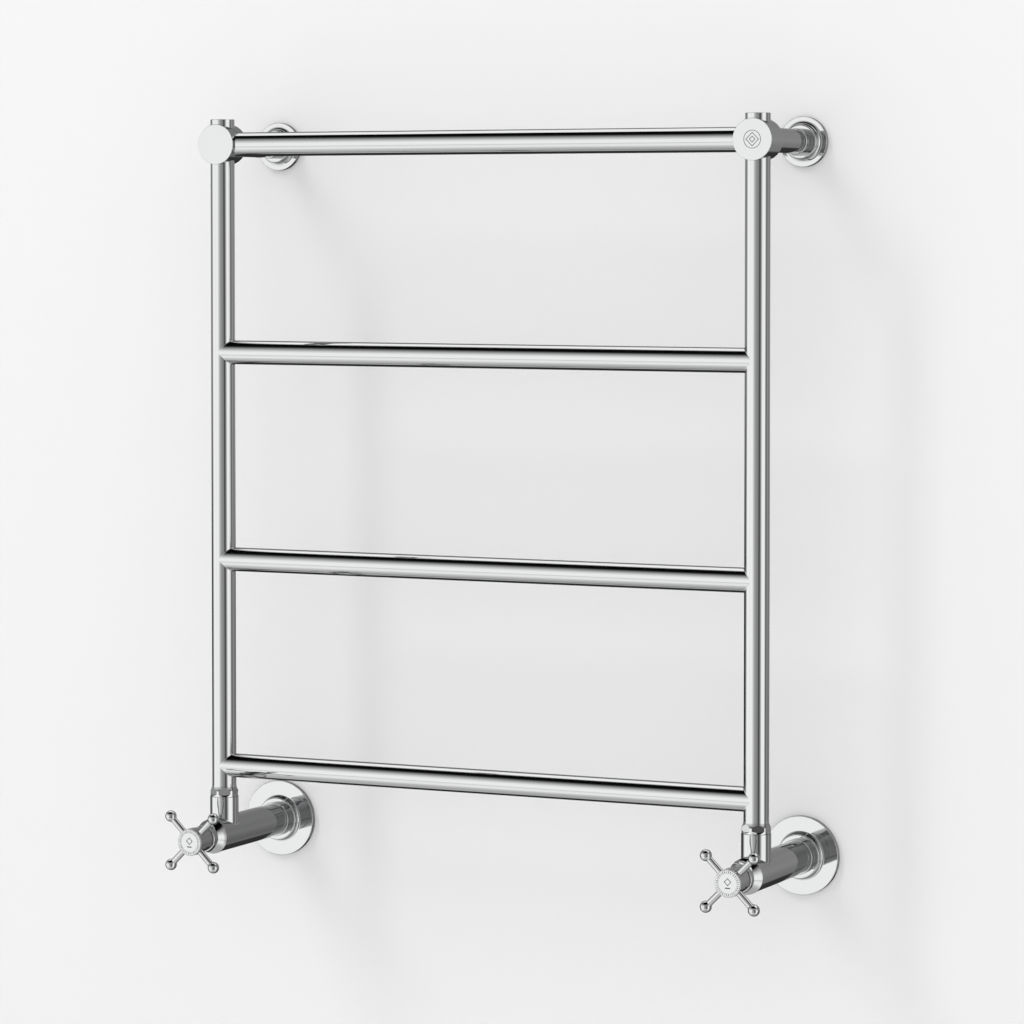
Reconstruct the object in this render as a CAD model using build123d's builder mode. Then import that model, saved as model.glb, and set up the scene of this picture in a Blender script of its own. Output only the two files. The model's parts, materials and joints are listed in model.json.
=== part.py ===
from build123d import *
from math import cos, hypot, radians, sin, sqrt
import os

# Ladder towel radiator on two wall stays, fed by two crosshead valves.
#
# Millimetres, +Z up. The wall is the plane Y = 0 and the radiator stands in front of it, towards -Y. The
# origin is on the wall, midway between the two stays, at the height of the top rail's axis. A "depth" is a
# distance from the posts' axes along Y, positive towards the wall. A "rise" is a height above the valves'
# axes.

# Overall sizes
post_spacing = 600.0
rail_pitch = 216.0
valve_drop = 72.0
stub_height = 26.0
wall_distance = 125.0

# Clearances
braze_gap = 0.05
running_gap = 0.05
slip_gap = 0.1
end_gap = 0.3
nut_gap = 0.5

# Tubes
post_r = 12.5
tube_wall = 1.5
rail_inset = 0.1
water_hole_r = 6.0

# Hubs at the ends of the top rail
hub_front_wall = 2.5
hub_side_wall = 8.25
hub_round = 0.6
hub_boss_length = 15.0
hub_cap_thickness = 1.4
hub_cap_spigot_r = 9.0
hub_cap_spigot_length = 0.5

# Plugs in the post tops
plug_head = 2.0
plug_shank_length = 10.0
plug_round = 0.5
vent_recess_r = 4.2
vent_recess_depth = 6.0
bleed_screw_r = 2.0
bleed_square = 5.0
bleed_shank_length = 4.6
blank_socket_flats = 8.0
blank_socket_depth = 5.0

# Wall stays
sleeve_r = 12.25
sleeve_wall = 0.95
sleeve_chamfer = 0.4
neck_length = 13.0
rod_end_room = 20.0
rod_hole_depth = 20.0
grub_r = 2.5
grub_bite = 2.0
grub_setback = 8.0
collar_wall = 1.65
collar_length = 13.6
collar_round = 1.6
wall_plate_r = 22.0
wall_plate_thickness = 2.5
wall_plate_boss = 6.5
wall_stud_r = 5.0
wall_stud_length = 14.0
wall_screw_r = 2.75
wall_screw_spacing = 32.0

# Roses
rose_shell = 1.2
stay_rose_height = 13.4
stay_rose_plate = 5.0
stay_rose_r = 25.3
stay_rose_boss_r = 17.3
stay_rose_foot_r = 21.5
valve_rose_height = 13.0
valve_rose_plate = 5.5
valve_rose_r = 40.0
valve_rose_boss_r = 22.8
valve_rose_foot_r = 25.6
rose_boss_round = 1.6
rose_rim_round = 0.6

# Valve body, by depth along its axis and rise above it
body_r = 17.5
body_front = -24.0
body_back = 83.0
branch_r = 14.8
branch_shoulder = 39.0
branch_thread_r = 11.0
branch_thread_length = 4.5
branch_bore_r = 8.5
headwork_thread_r = 12.4
headwork_socket_depth = -8.0
chamber_r = 11.0
seat_depth = 9.0
seat_length = 5.0
seat_bore_r = 6.0
inlet_r = 6.5

# Supply pipe joint at the back of each valve
pipe_hole_r = 7.6
pipe_stop_depth = 56.0
pipe_socket_length = 10.0
olive_cone_length = 2.5
olive_r = 9.6
olive_end_r = 8.3
olive_length = 5.4
nut_thread_r = 11.95
nut_thread_length = 11.0
nut_head_length = 10.0
nut_head_flats = 25.0
shroud_r = 16.5
shroud_wall = 1.0
ring_length = 7.0
ring_wall = 1.5
ring_round = 0.8

# Union between each valve's branch and its post
union_nut_flats = 26.0
union_nut_r = 14.4
union_nut_length = 9.4
union_nut_lip = 2.95
union_flat_rise = 1.7
union_flat_end_r = 16.6
union_flat_cut = 2.0
union_seal_thickness = 0.6
union_seal_bore_r = 6.0
tail_r = 7.5
tail_wall = 2.0
tail_flange_r = 10.8
tail_flange = 1.8
flare_gap = 0.2
flare_hollow_r = 12.5
flare_height = 3.1
flare_spigot = 10.0

# Headwork, spindle and jumper
headwork_end = -9.0
headwork_flange_r = 13.5
headwork_flange = 3.0
headwork_barrel_r = 10.5
headwork_barrel_end = -44.0
headwork_nose_r = 9.0
headwork_nose_end = -52.0
guide_r = 5.0
guide_end = -30.0
spindle_r = 4.0
spindle_back = -19.0
spindle_shoulder = -56.0
spindle_front = -66.8
spindle_square = 5.6
spindle_socket_depth = 9.0
screw_hole_r = 1.55
screw_hole_depth = 9.0
seal_groove_r = 5.5
seal_groove_front = -47.5
seal_groove_length = 1.5
washer_r = 8.0
washer_thickness = 3.0
washer_bore_r = 2.0
jumper_disc_r = 9.0
jumper_disc = 3.0
jumper_pin_length = 2.5
jumper_stem_end = -14.5
jumper_screw_r = 2.9
jumper_screw_length = 7.5

# Bonnet shroud
bonnet_lip = 0.5
bonnet_rim_end = -27.0
bonnet_neck_r = 11.9
bonnet_neck = -34.5
bonnet_hollow = 0.35
bonnet_ring_r = 13.9
bonnet_ring_back = -39.0
bonnet_front = -46.0
bonnet_cavity_r = 14.2
bonnet_cavity_back = -27.5
bonnet_cavity_front = -32.0
bonnet_ring_round = 1.4
bonnet_ring_back_round = 0.4

# Crosshead handle
handle_skirt_r = 12.6
handle_skirt_bore_r = 11.0
handle_skirt_front = -60.3
handle_skirt_back = -47.0
handle_skirt_floor = -57.0
handle_hub_r = 14.0
handle_front = -73.0
handle_socket_end = -67.0
handle_web_front = -69.0
handle_head_r = 4.2
cap_recess_wall = 0.65
cap_recess_depth = 1.6
cap_proud = 0.5
cap_round = 0.3
spoke_angles = (45, 135, 225, 315)
spoke_depth = -67.5
spoke_r = 3.25
spoke_start = 10.0
spoke_reach = 35.6
ball_r = 5.9
handle_screw_r = 1.5
handle_screw_head_r = 3.0
handle_screw_head = 2.0
handle_screw_length = 9.0

# Places worked out from the sizes above
post_x = post_spacing / 2
sides = {"left": -1, "right": 1}
rail_heights = {
    "top_rail": 0.0,
    "upper_rung": -rail_pitch,
    "middle_rung": -2 * rail_pitch,
    "lower_rung": -3 * rail_pitch,
}
valve_height = rail_heights["lower_rung"] - valve_drop
post_bore_r = post_r - tube_wall
rail_r = post_r - rail_inset
hub_half_depth = post_r + hub_front_wall
hub_r = post_r + hub_side_wall
sleeve_bore_r = sleeve_r - sleeve_wall
rod_r = sleeve_bore_r - running_gap
collar_r = rod_r + slip_gap + collar_wall
stay_rose_front = wall_distance - stay_rose_height
collar_front = stay_rose_front - collar_length
sleeve_end = collar_front - neck_length
rod_front = hub_half_depth + hub_boss_length + rod_end_room
rod_back = wall_distance - wall_plate_thickness - wall_plate_boss
grub_depth = sleeve_end - grub_setback
valve_rose_front = wall_distance - valve_rose_height
branch_top = branch_shoulder + branch_thread_length
nut_bottom = branch_shoulder + nut_gap
nut_top = nut_bottom + union_nut_length
tail_foot = branch_top + union_seal_thickness
flare_bottom = nut_top + flare_gap
post_bottom = flare_bottom + flare_height
cap_recess_r = handle_hub_r - cap_recess_wall
cap_seat = handle_front + cap_recess_depth


def hollow_radius(height):
    """Radius, at a rise above the valve's axis, of the hollow that runs from the post down to the nut."""
    return post_r + flare_hollow_r - sqrt(flare_hollow_r**2 - (post_bottom - height) ** 2)


def hollow_rise(radius):
    """Rise above the valve's axis at which that hollow has a radius."""
    return post_bottom - sqrt(flare_hollow_r**2 - (flare_hollow_r + post_r - radius) ** 2)


def across(x, height, depth):
    """Plane square to Y at a depth; extrusions run towards the wall."""
    return Plane(origin=(x, depth - wall_distance, height), x_dir=(1, 0, 0), z_dir=(0, 1, 0))


def level(x, height):
    """Level plane at a post's axis; extrusions run upwards."""
    return Plane(origin=(x, -wall_distance, height), x_dir=(1, 0, 0), z_dir=(0, 0, 1))


def sideways(x, height, direction):
    """Upright plane square to X at a post's axis; extrusions run along X in the given direction."""
    return Plane(origin=(x, -wall_distance, height), x_dir=(0, 1, 0), z_dir=(direction, 0, 0))


def turning_plane(x, height):
    """Plane of outlines turned about a Y axis: its X is the depth and its Y the radius."""
    return Plane(origin=(x, -wall_distance, height), x_dir=(0, 1, 0), z_dir=(1, 0, 0))


def turning_axis(x, height):
    return Axis((x, -wall_distance, height), (0, 1, 0))


def upright_plane(x, height):
    """Plane of outlines turned about a post's axis: its X is the radius and its Y the rise."""
    return Plane(origin=(x, -wall_distance, height), x_dir=(1, 0, 0), z_dir=(0, -1, 0))


def upright_axis(x):
    return Axis((x, -wall_distance, 0), (0, 0, 1))


def circles(piece, radius):
    """Circular edges of one radius on a piece."""
    return piece.edges().filter_by(GeomType.CIRCLE).filter_by(lambda edge: abs(edge.radius - radius) < 0.001)


def tube(plane, outer_r, inner_r, length):
    """Straight tube or ring standing on a plane."""
    with BuildPart() as piece:
        with BuildSketch(plane):
            Circle(outer_r)
            Circle(inner_r, mode=Mode.SUBTRACT)
        extrude(amount=length)
    return piece


def turned(points, x, height):
    """Solid turned about a Y axis from a straight-sided outline of (depth, radius) points."""
    with BuildPart() as piece:
        with BuildSketch(turning_plane(x, height)):
            with BuildLine():
                Polyline(*points, close=True)
            make_face()
        revolve(axis=turning_axis(x, height))
    return piece


def turned_upright(points, x, height):
    """Solid turned about a post's axis from a straight-sided outline of (radius, rise) points."""
    with BuildPart() as piece:
        with BuildSketch(upright_plane(x, height)):
            with BuildLine():
                Polyline(*points, close=True)
            make_face()
        revolve(axis=upright_axis(x))
    return piece


def save(piece, name):
    """Label a finished piece and write its STEP file."""
    piece.part.label = name
    export_step(piece.part, f"parts/{name}.step")


def both(make):
    """One piece that holds the same part on the left and on the right, as two separate solids."""
    with BuildPart() as pair:
        for sign in sides.values():
            add(make(sign * post_x).part)
    return pair


# Frame: posts, rails and hubs


def make_post(x, inward):
    """Upright tube with a water hole into each rail."""
    with BuildPart() as post:
        with BuildSketch(level(x, valve_height + post_bottom)):
            Circle(post_r)
            Circle(post_bore_r, mode=Mode.SUBTRACT)
        extrude(amount=stub_height - plug_head - valve_height - post_bottom)
        for height in rail_heights.values():
            with BuildSketch(sideways(x, height, inward)):
                Circle(water_hole_r)
            extrude(amount=2 * post_r, mode=Mode.SUBTRACT)
    return post


def make_rail(height):
    """Cross tube whose ends are saddle-cut to the round of both posts."""
    with BuildPart() as rail:
        with BuildSketch(sideways(-post_x, height, 1)):
            Circle(rail_r)
            Circle(rail_r - tube_wall, mode=Mode.SUBTRACT)
        extrude(amount=post_spacing)
        with Locations((-post_x, -wall_distance, height), (post_x, -wall_distance, height)):
            Cylinder(post_r + braze_gap, 4 * post_r, mode=Mode.SUBTRACT)
    return rail


def make_hub(x, inward):
    """Drum round the post's top, with a side socket for the top rail and a boss for the stay."""
    front = hub_cap_thickness - hub_half_depth
    with BuildPart() as hub:
        with BuildSketch(across(x, 0, front)):
            Circle(hub_r)
        extrude(amount=hub_half_depth - front)
        fillet(circles(hub, hub_r).sort_by(Axis.Y)[-1], hub_round)
        with BuildSketch(across(x, 0, hub_half_depth)):
            Circle(rod_r)
        extrude(amount=hub_boss_length)
        with BuildSketch(level(x, -hub_r)):
            Circle(post_r + braze_gap)
        extrude(amount=2 * hub_r, mode=Mode.SUBTRACT)
        with BuildSketch(sideways(x, 0, inward)):
            Circle(rail_r + braze_gap)
        extrude(amount=hub_r, mode=Mode.SUBTRACT)
        with BuildSketch(across(x, 0, front)):
            Circle(hub_cap_spigot_r + slip_gap)
        extrude(amount=hub_cap_spigot_length + slip_gap, mode=Mode.SUBTRACT)
    return hub


def make_hub_cap(x):
    """Flat disc that closes the front of a hub, with a shallow spigot behind it."""
    with BuildPart() as cap:
        with BuildSketch(across(x, 0, -hub_half_depth)):
            Circle(hub_r)
        extrude(amount=hub_cap_thickness)
        fillet(circles(cap, hub_r).sort_by(Axis.Y)[0], hub_round)
        with BuildSketch(across(x, 0, hub_cap_thickness - hub_half_depth)):
            Circle(hub_cap_spigot_r)
        extrude(amount=hub_cap_spigot_length)
    return cap


def make_plug(x):
    """Blank plug in a post's top: a flush head on a shank."""
    with BuildPart() as plug:
        with BuildSketch(level(x, stub_height - plug_head)):
            Circle(post_r)
        extrude(amount=plug_head)
        fillet(circles(plug, post_r).sort_by(Axis.Z)[-1], plug_round)
        with BuildSketch(level(x, stub_height - plug_head - plug_shank_length)):
            Circle(post_bore_r - braze_gap)
        extrude(amount=plug_shank_length)
    return plug


def make_blanking_plug(x):
    """Closed plug with a hexagon socket."""
    with BuildPart() as blank:
        add(make_plug(x).part)
        with BuildSketch(level(x, stub_height - blank_socket_depth)):
            RegularPolygon(blank_socket_flats / 2, 6, major_radius=False)
        extrude(amount=blank_socket_depth, mode=Mode.SUBTRACT)
    return blank


def make_air_vent(x):
    """Plug with a recess and a bore for the bleed screw."""
    with BuildPart() as vent:
        add(make_plug(x).part)
        with BuildSketch(level(x, stub_height - vent_recess_depth)):
            Circle(vent_recess_r)
        extrude(amount=vent_recess_depth, mode=Mode.SUBTRACT)
        with BuildSketch(level(x, stub_height - plug_head - plug_shank_length)):
            Circle(bleed_screw_r + running_gap)
        extrude(amount=plug_shank_length, mode=Mode.SUBTRACT)
    return vent


def make_bleed_screw(x):
    """Square-headed screw that stands in the vent's recess."""
    head_foot = stub_height - vent_recess_depth + end_gap
    with BuildPart() as screw:
        with BuildSketch(level(x, head_foot)):
            Rectangle(bleed_square, bleed_square)
        extrude(amount=vent_recess_depth - 2 * end_gap)
        with BuildSketch(level(x, head_foot - bleed_shank_length)):
            Circle(bleed_screw_r)
        extrude(amount=bleed_shank_length)
    return screw


# Wall stays


def make_stay_sleeve(x):
    """Outer tube of the stay, over the hub's boss and the rod, with a hole for the grub screw."""
    with BuildPart() as sleeve:
        with BuildSketch(across(x, 0, hub_half_depth)):
            Circle(sleeve_r)
            Circle(sleeve_bore_r, mode=Mode.SUBTRACT)
        extrude(amount=sleeve_end - hub_half_depth)
        chamfer(circles(sleeve, sleeve_r).sort_by(Axis.Y)[-1], sleeve_chamfer)
        with BuildSketch(Plane(origin=(x, grub_depth - wall_distance, 0), z_dir=(0, 0, -1))):
            Circle(grub_r + running_gap)
        extrude(amount=2 * sleeve_r, mode=Mode.SUBTRACT)
    return sleeve


def make_stay_rod(x):
    """Rod that slides in the sleeve and screws on to the wall plate's stud."""
    with BuildPart() as rod:
        with BuildSketch(across(x, 0, rod_front)):
            Circle(rod_r)
        extrude(amount=rod_back - rod_front)
        with BuildSketch(across(x, 0, rod_back - rod_hole_depth)):
            Circle(wall_stud_r + running_gap)
        extrude(amount=rod_hole_depth, mode=Mode.SUBTRACT)
        with BuildSketch(Plane(origin=(x, grub_depth - wall_distance, grub_bite - rod_r), z_dir=(0, 0, -1))):
            Circle(grub_r + running_gap)
        extrude(amount=rod_r, mode=Mode.SUBTRACT)
    return rod


def make_grub_screw(x):
    """Grub screw that locks a stay's rod in its sleeve, from below."""
    with BuildPart() as grub:
        with BuildSketch(Plane(origin=(x, grub_depth - wall_distance, grub_bite - rod_r), z_dir=(0, 0, -1))):
            Circle(grub_r)
        extrude(amount=grub_bite + sleeve_wall)
    return grub


def make_stay_collar(x):
    """Short collar on the rod that holds the rose to the wall."""
    with BuildPart() as collar:
        with BuildSketch(across(x, 0, collar_front)):
            Circle(collar_r)
            Circle(rod_r + slip_gap, mode=Mode.SUBTRACT)
        extrude(amount=collar_length)
        fillet(circles(collar, collar_r).sort_by(Axis.Y)[0], collar_round)
    return collar


def make_rose(x, height, front, hole_r, boss_r, foot_r, plate_r, plate_depth):
    """Hollow round rose: a rounded boss that flares through a hollow fillet into a flat plate."""
    diagonal = sqrt(0.5)
    flare = foot_r - boss_r
    plate_front = wall_distance - plate_depth
    with BuildPart() as rose:
        with BuildSketch(turning_plane(x, height)):
            with BuildLine():
                Line((front, hole_r), (front, boss_r - rose_boss_round))
                CenterArc((front + rose_boss_round, boss_r - rose_boss_round), rose_boss_round, 180, -90)
                Line((front + rose_boss_round, boss_r), (plate_front - flare, boss_r))
                ThreePointArc(
                    (plate_front - flare, boss_r),
                    (plate_front - flare + flare * diagonal, foot_r - flare * diagonal),
                    (plate_front, foot_r),
                )
                Polyline(
                    (plate_front, foot_r),
                    (plate_front, plate_r - rose_rim_round),
                    (plate_front + rose_rim_round, plate_r),
                    (wall_distance, plate_r),
                    (wall_distance, plate_r - rose_shell),
                    (plate_front + rose_shell, plate_r - rose_shell),
                    (plate_front + rose_shell, boss_r - rose_shell),
                    (front + rose_shell, boss_r - rose_shell),
                    (front + rose_shell, hole_r),
                    (front, hole_r),
                )
            make_face()
        revolve(axis=turning_axis(x, height))
    return rose


def make_wall_plate(x):
    """Disc that two screws hold to the wall, with a boss and a stud for the stay's rod."""
    with BuildPart() as plate:
        with BuildSketch(across(x, 0, wall_distance - wall_plate_thickness)):
            Circle(wall_plate_r)
            with Locations((0, wall_screw_spacing / 2), (0, -wall_screw_spacing / 2)):
                Circle(wall_screw_r, mode=Mode.SUBTRACT)
        extrude(amount=wall_plate_thickness)
        with BuildSketch(across(x, 0, rod_back)):
            Circle(rod_r)
        extrude(amount=wall_plate_boss)
        with BuildSketch(across(x, 0, rod_back - wall_stud_length)):
            Circle(wall_stud_r)
        extrude(amount=wall_stud_length)
    return plate


# Unions between the valves and the posts


def make_post_flare(x):
    """Turned end of a post: the top of the hollow above the nut, and a spigot brazed into the post."""
    bore_r = tail_r + braze_gap
    spigot_r = post_bore_r - braze_gap
    middle = (flare_bottom + post_bottom) / 2
    with BuildPart() as flare:
        with BuildSketch(upright_plane(x, valve_height)):
            with BuildLine():
                Line((bore_r, flare_bottom), (hollow_radius(flare_bottom), flare_bottom))
                ThreePointArc(
                    (hollow_radius(flare_bottom), flare_bottom),
                    (hollow_radius(middle), middle),
                    (post_r, post_bottom),
                )
                Polyline(
                    (post_r, post_bottom),
                    (spigot_r, post_bottom),
                    (spigot_r, post_bottom + flare_spigot),
                    (bore_r, post_bottom + flare_spigot),
                    (bore_r, flare_bottom),
                )
            make_face()
        revolve(axis=upright_axis(x))
    return flare


def make_union_tail(x):
    """Tube brazed into the flare, with a foot flange that the nut pulls on to the seal."""
    bore_r = tail_r - tail_wall
    top = post_bottom + flare_spigot
    outline = [
        (bore_r, tail_foot),
        (tail_flange_r, tail_foot),
        (tail_flange_r, tail_foot + tail_flange),
        (tail_r, tail_foot + tail_flange),
        (tail_r, top),
        (bore_r, top),
    ]
    return turned_upright(outline, x, valve_height)


def make_union_seal(x):
    """Flat seal between the branch and the tail."""
    plane = level(x, valve_height + branch_top)
    return tube(plane, tail_flange_r, union_seal_bore_r, union_seal_thickness)


def make_union_nut(x):
    """Round nut with six flats milled into it, open below for the branch's thread and lipped above."""
    flat_r = union_nut_flats / 2
    flat_centre = nut_bottom + union_flat_rise + union_flat_end_r
    shoulder = hollow_rise(union_nut_r)
    middle = (shoulder + nut_top) / 2
    with BuildPart() as nut:
        with BuildSketch(upright_plane(x, valve_height)):
            with BuildLine():
                Polyline((0, nut_top), (0, nut_bottom), (union_nut_r, nut_bottom), (union_nut_r, shoulder))
                ThreePointArc(
                    (union_nut_r, shoulder),
                    (hollow_radius(middle), middle),
                    (hollow_radius(nut_top), nut_top),
                )
                Line((hollow_radius(nut_top), nut_top), (0, nut_top))
            make_face()
        revolve(axis=upright_axis(x))
        for angle in range(0, 360, 60):
            direction = Vector(cos(radians(angle)), sin(radians(angle)), 0)
            centre = Vector(x, -wall_distance, valve_height + flat_centre) + direction * flat_r
            with Locations(Plane(origin=centre, z_dir=direction)):
                Cone(
                    union_flat_end_r,
                    union_flat_end_r + union_flat_cut,
                    union_flat_cut,
                    align=(Align.CENTER, Align.CENTER, Align.MIN),
                    mode=Mode.SUBTRACT,
                )
        with BuildSketch(level(x, valve_height + nut_bottom)):
            Circle(branch_thread_r + running_gap)
        extrude(amount=union_nut_length - union_nut_lip, mode=Mode.SUBTRACT)
        with BuildSketch(level(x, valve_height + nut_bottom)):
            Circle(tail_r + slip_gap)
        extrude(amount=union_nut_length, mode=Mode.SUBTRACT)
    return nut


# Valves


def make_valve_body(x):
    """Long turned body with its branch, seat, waterways and the socket for the supply pipe."""
    socket_end = pipe_stop_depth + pipe_socket_length
    cone_end = socket_end + olive_cone_length
    cavity = [
        (body_front, 0),
        (body_front, headwork_thread_r + running_gap),
        (headwork_socket_depth, headwork_thread_r + running_gap),
        (headwork_socket_depth, chamber_r),
        (seat_depth, chamber_r),
        (seat_depth, seat_bore_r),
        (seat_depth + seat_length, seat_bore_r),
        (seat_depth + seat_length, inlet_r),
        (pipe_stop_depth, inlet_r),
        (pipe_stop_depth, pipe_hole_r),
        (socket_end, pipe_hole_r),
        (socket_end, olive_end_r),
        (cone_end, olive_r + end_gap),
        (cone_end, nut_thread_r + running_gap),
        (body_back, nut_thread_r + running_gap),
        (body_back, 0),
    ]
    with BuildPart() as body:
        with BuildSketch(across(x, valve_height, body_front)):
            Circle(body_r)
        extrude(amount=body_back - body_front)
        with BuildSketch(level(x, valve_height)):
            Circle(branch_r)
        extrude(amount=branch_shoulder)
        with BuildSketch(level(x, valve_height)):
            Circle(branch_thread_r)
        extrude(amount=branch_top)
        with BuildSketch(turning_plane(x, valve_height)):
            with BuildLine():
                Polyline(*cavity, close=True)
            make_face()
        revolve(axis=turning_axis(x, valve_height), mode=Mode.SUBTRACT)
        with BuildSketch(level(x, valve_height)):
            Circle(branch_bore_r)
        extrude(amount=branch_top, mode=Mode.SUBTRACT)
    return body


def make_olive(x):
    """Brass ring that the compression nut squeezes on to the supply pipe."""
    front = pipe_stop_depth + pipe_socket_length + end_gap
    outline = [
        (front, pipe_hole_r),
        (front, olive_end_r),
        (front + olive_length / 2, olive_r),
        (front + olive_length, olive_end_r),
        (front + olive_length, pipe_hole_r),
    ]
    return turned(outline, x, valve_height)


def make_compression_nut(x):
    """Nut screwed into the body's back end, with the supply pipe through it."""
    with BuildPart() as nut:
        with BuildSketch(across(x, valve_height, body_back - nut_thread_length)):
            Circle(nut_thread_r)
        extrude(amount=nut_thread_length)
        with BuildSketch(across(x, valve_height, body_back)):
            RegularPolygon(nut_head_flats / 2, 6, major_radius=False)
        extrude(amount=nut_head_length)
        with BuildSketch(across(x, valve_height, body_back - nut_thread_length)):
            Circle(pipe_hole_r)
        extrude(amount=nut_thread_length + nut_head_length, mode=Mode.SUBTRACT)
    return nut


def make_pipe_shroud(x):
    """Sleeve that hides the supply pipe and its nut, from the body to the rose."""
    plane = across(x, valve_height, body_back)
    return tube(plane, shroud_r, shroud_r - shroud_wall, valve_rose_front - end_gap - body_back)


def make_rose_ring(x):
    """Rounded ring on the shroud that holds the rose to the wall."""
    with BuildPart() as ring:
        with BuildSketch(across(x, valve_height, valve_rose_front - ring_length)):
            Circle(shroud_r + running_gap + ring_wall)
            Circle(shroud_r + running_gap, mode=Mode.SUBTRACT)
        extrude(amount=ring_length)
        fillet(circles(ring, shroud_r + running_gap + ring_wall).sort_by(Axis.Y)[0], ring_round)
    return ring


def make_headwork(x):
    """Turned insert that screws into the body, guides the jumper and seals round the spindle."""
    bore_r = spindle_r + running_gap
    outline = [
        (headwork_end, guide_r),
        (headwork_end, headwork_thread_r),
        (body_front, headwork_thread_r),
        (body_front, headwork_flange_r),
        (body_front - headwork_flange, headwork_flange_r),
        (body_front - headwork_flange, headwork_barrel_r),
        (headwork_barrel_end, headwork_barrel_r),
        (headwork_barrel_end, headwork_nose_r),
        (headwork_nose_end, headwork_nose_r),
        (headwork_nose_end, bore_r),
        (seal_groove_front, bore_r),
        (seal_groove_front, seal_groove_r),
        (seal_groove_front + seal_groove_length, seal_groove_r),
        (seal_groove_front + seal_groove_length, bore_r),
        (guide_end, bore_r),
        (guide_end, guide_r),
    ]
    return turned(outline, x, valve_height)


def make_spindle_seal(x):
    """O-ring in the headwork's groove, round the spindle."""
    section_r = (seal_groove_r - spindle_r) / 2 - running_gap
    middle_r = (seal_groove_r + spindle_r) / 2
    with BuildPart() as seal:
        with BuildSketch(turning_plane(x, valve_height)):
            with Locations((seal_groove_front + seal_groove_length / 2, middle_r)):
                Circle(section_r)
        revolve(axis=turning_axis(x, valve_height))
    return seal


def make_spindle(x):
    """Spindle that turns in the headwork: collar with the jumper's socket, shank and the handle's square."""
    with BuildPart() as spindle:
        with BuildSketch(across(x, valve_height, guide_end + slip_gap)):
            Circle(guide_r - running_gap)
        extrude(amount=spindle_back - guide_end - slip_gap)
        with BuildSketch(across(x, valve_height, spindle_shoulder)):
            Circle(spindle_r)
        extrude(amount=spindle_back - spindle_shoulder)
        with BuildSketch(across(x, valve_height, spindle_front)):
            Rectangle(spindle_square, spindle_square)
        extrude(amount=spindle_shoulder - spindle_front)
        with BuildSketch(across(x, valve_height, spindle_back - spindle_socket_depth)):
            Circle(jumper_screw_r + slip_gap)
        extrude(amount=spindle_socket_depth, mode=Mode.SUBTRACT)
        with BuildSketch(across(x, valve_height, spindle_front)):
            Circle(screw_hole_r)
        extrude(amount=screw_hole_depth, mode=Mode.SUBTRACT)
    return spindle


def make_jumper(x):
    """Disc on a stem that the spindle's thread draws off the seat, with a pin for the washer."""
    washer_front = seat_depth - washer_thickness
    disc_front = washer_front - jumper_disc
    outline = [
        (jumper_stem_end - jumper_screw_length, 0),
        (jumper_stem_end - jumper_screw_length, jumper_screw_r),
        (jumper_stem_end, jumper_screw_r),
        (jumper_stem_end, guide_r - slip_gap),
        (disc_front, guide_r - slip_gap),
        (disc_front, jumper_disc_r),
        (washer_front, jumper_disc_r),
        (washer_front, washer_bore_r - running_gap),
        (washer_front + jumper_pin_length, washer_bore_r - running_gap),
        (washer_front + jumper_pin_length, 0),
    ]
    return turned(outline, x, valve_height)


def make_jumper_washer(x):
    """Rubber washer that closes on the seat."""
    plane = across(x, valve_height, seat_depth - washer_thickness)
    return tube(plane, washer_r, washer_bore_r, washer_thickness)


def make_bonnet(x):
    """Shroud over the headwork: a rim on the body, a hollow cone down to a neck, and a rounded ring."""
    rim_r = body_r + bonnet_lip
    lean = hypot(rim_r - bonnet_neck_r, bonnet_rim_end - bonnet_neck)
    middle = (
        (bonnet_rim_end + bonnet_neck) / 2 + bonnet_hollow * (rim_r - bonnet_neck_r) / lean,
        (rim_r + bonnet_neck_r) / 2 - bonnet_hollow * (bonnet_rim_end - bonnet_neck) / lean,
    )
    bore_r = headwork_barrel_r + slip_gap
    with BuildPart() as bonnet:
        with BuildSketch(turning_plane(x, valve_height)):
            with BuildLine():
                Polyline((body_front, bonnet_cavity_r), (body_front, rim_r), (bonnet_rim_end, rim_r))
                ThreePointArc((bonnet_rim_end, rim_r), middle, (bonnet_neck, bonnet_neck_r))
                Polyline(
                    (bonnet_neck, bonnet_neck_r),
                    (bonnet_ring_back, bonnet_neck_r),
                    (bonnet_ring_back, bonnet_ring_r),
                    (bonnet_front, bonnet_ring_r),
                    (bonnet_front, bore_r),
                    (bonnet_cavity_front, bore_r),
                    (bonnet_cavity_back, bonnet_cavity_r),
                    (body_front, bonnet_cavity_r),
                )
            make_face()
        revolve(axis=turning_axis(x, valve_height))
        fillet(circles(bonnet, bonnet_ring_r).sort_by(Axis.Y)[-1], bonnet_ring_back_round)
        fillet(circles(bonnet, bonnet_ring_r).sort_by(Axis.Y)[0], bonnet_ring_round)
    return bonnet


def spoke_direction(angle):
    return Vector(cos(radians(angle)), 0, sin(radians(angle)))


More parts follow.
